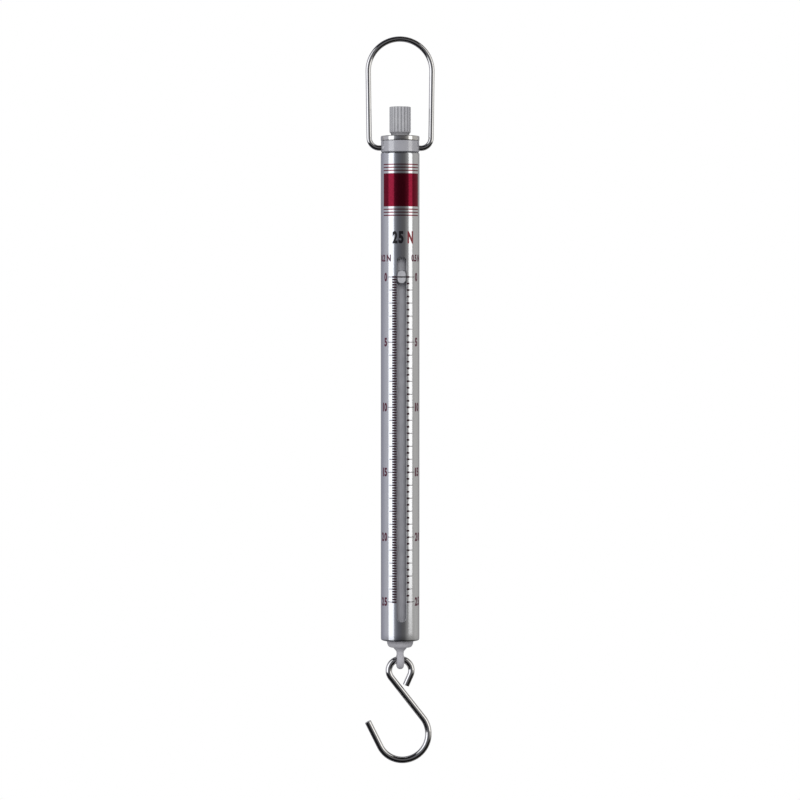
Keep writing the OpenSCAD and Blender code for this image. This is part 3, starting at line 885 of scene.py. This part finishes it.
def area_light(name, azimuth, degrees, low, high, radiance, colour):
    """An upright rectangle of light round the tube, at an azimuth from the camera, between two heights."""
    distance = 1.6
    width = 2 * distance * math.tan(math.radians(degrees / 2))
    data = bpy.data.lights.new(name, "AREA")
    data.shape = "RECTANGLE"
    data.size, data.size_y = width, high - low
    data.energy = radiance * math.pi * width * (high - low)
    data.color = colour
    light = bpy.data.objects.new(name, data)
    scene.collection.objects.link(light)
    back = outwards(CAMERA_AZIMUTH + azimuth, 0)
    light.location = Vector((0, 0, (low + high) / 2)) + back * distance
    light.rotation_euler = back.to_track_quat("Z", "Y").to_euler()
    light.visible_camera = False
    return light


def build_lights():
    """Two tall strips that the metal shows as bright bands, and a soft front fill that it does not show."""
    area_light("left_strip", -55.3, 35.2, -0.65, 1.5, 0.98, (0.96, 0.98, 1.0))
    area_light("right_strip", 64.5, 25, -0.40, 1.7, 0.95, (1.0, 0.99, 0.97))
    fill = area_light("front_fill", 0, 40, 0.22, 0.98, 3.2, (0.99, 0.99, 1.0))
    fill.visible_glossy = False


def ramp(tree, value, stops):
    """A colour ramp from (place, colour) stops."""
    made = node(tree, "ValToRGB", {"Fac": value})
    elements = made.color_ramp.elements
    while len(elements) > 1:
        elements.remove(elements[-1])
    elements[0].position, elements[0].color = stops[0][0], (*stops[0][1], 1)
    for place, colour in stops[1:]:
        elements.new(place).color = (*colour, 1)
    return made.outputs["Color"]


def build_world():
    """A white backdrop for the camera, grey studio walls for reflections, and an even glow on matt things."""
    world = bpy.data.worlds.new("studio")
    scene.world = world
    world.use_nodes = True
    tree = world.node_tree
    tree.nodes.clear()
    coords = node(tree, "TexCoord")
    rotation = (0, 0, math.radians(-CAMERA_AZIMUTH))
    turned = node(tree, "Mapping", {"Vector": coords.outputs["Generated"], "Rotation": rotation})
    axes = node(tree, "SeparateXYZ", {"Vector": turned.outputs["Vector"]}).outputs
    back = node(tree, "Math", {0: axes["Y"], 1: -1.0}, operation="MULTIPLY")
    azimuth = node(tree, "Math", {0: axes["X"], 1: back.outputs["Value"]}, operation="ARCTAN2")
    # Azimuth and height, each from 0 to 1: behind the scale to behind it again, and nadir to zenith.
    place = spread(tree, azimuth.outputs["Value"], 0, 1, -math.pi, math.pi)
    height = spread(tree, axes["Z"], 0, 1, -1, 1)
    wall = ramp(tree, place, [((a + 180) / 360, colour) for a, colour in WALLS])
    lit = ramp(
        tree, height, [(0.0, BLACK), (0.34, BLACK), (0.43, FULL), (0.66, FULL), (0.84, BLACK), (1.0, BLACK)])
    gloom = ramp(
        tree, place, [(0.0, DIM), (0.15, DIM), (0.24, DARK), (0.76, DARK), (0.85, DIM), (1.0, DIM)])
    level = node(tree, "Mix", {"Factor": lit, "A": gloom, "B": (*FULL, 1)}, data_type="RGBA")
    studio = node(tree, "Background", {"Color": multiply(tree, wall, level.outputs["Result"])})
    haze = node(tree, "Background", {"Color": (*HAZE, 1)})
    white = node(tree, "Background", {"Color": (*FULL, 1)})
    ray = node(tree, "LightPath").outputs
    seen = studio.outputs["Background"]
    for kind, background in (("Is Diffuse Ray", haze), ("Is Camera Ray", white)):
        inputs = {"Fac": ray[kind], 1: seen, 2: background.outputs["Background"]}
        seen = node(tree, "MixShader", inputs).outputs["Shader"]
    node(tree, "OutputWorld", {"Surface": seen})


def build_floor():
    """A pale round floor well below the hanging scale, fading out at its rim."""
    radius, steps, level, fade_from, fade_to = 1.9, 96, -0.66, 0.7, 1.85
    ring = [(radius * math.cos(TURN * k / steps), radius * math.sin(TURN * k / steps), level)
            for k in range(steps)]
    mesh = bpy.data.meshes.new("floor")
    mesh.from_pydata(ring, [], [tuple(range(steps))])
    floor = bpy.data.objects.new("floor", mesh)
    scene.collection.objects.link(floor)
    mat, tree, shader = material("pale_floor")
    slow = spread(tree, noise(tree, 3.0), 0, 1)
    tree.links.new(tint(tree, slow, (0.84, 0.84, 0.84), (0.88, 0.88, 0.88)), shader.inputs["Base Color"])
    shader.inputs["Roughness"].default_value = 0.8
    shader.inputs["Emission Color"].default_value = (1, 1, 1, 1)
    shader.inputs["Emission Strength"].default_value = 0.5
    tree.links.new(spread(tree, from_axis(tree), 1, 0, fade_from, fade_to), shader.inputs["Alpha"])
    mesh.materials.append(mat)
    floor.visible_glossy = floor.visible_diffuse = False


build_camera()
build_world()
build_lights()
build_floor()
build_bail()
build_cap()
build_knob()
build_tube()
build_nose()
build_pointer()
build_spring()
build_hook()
build_divisions()
build_figures()
build_titles()
build_panel()
scene.view_settings.view_transform = "Standard"
scene.view_settings.look = "None"
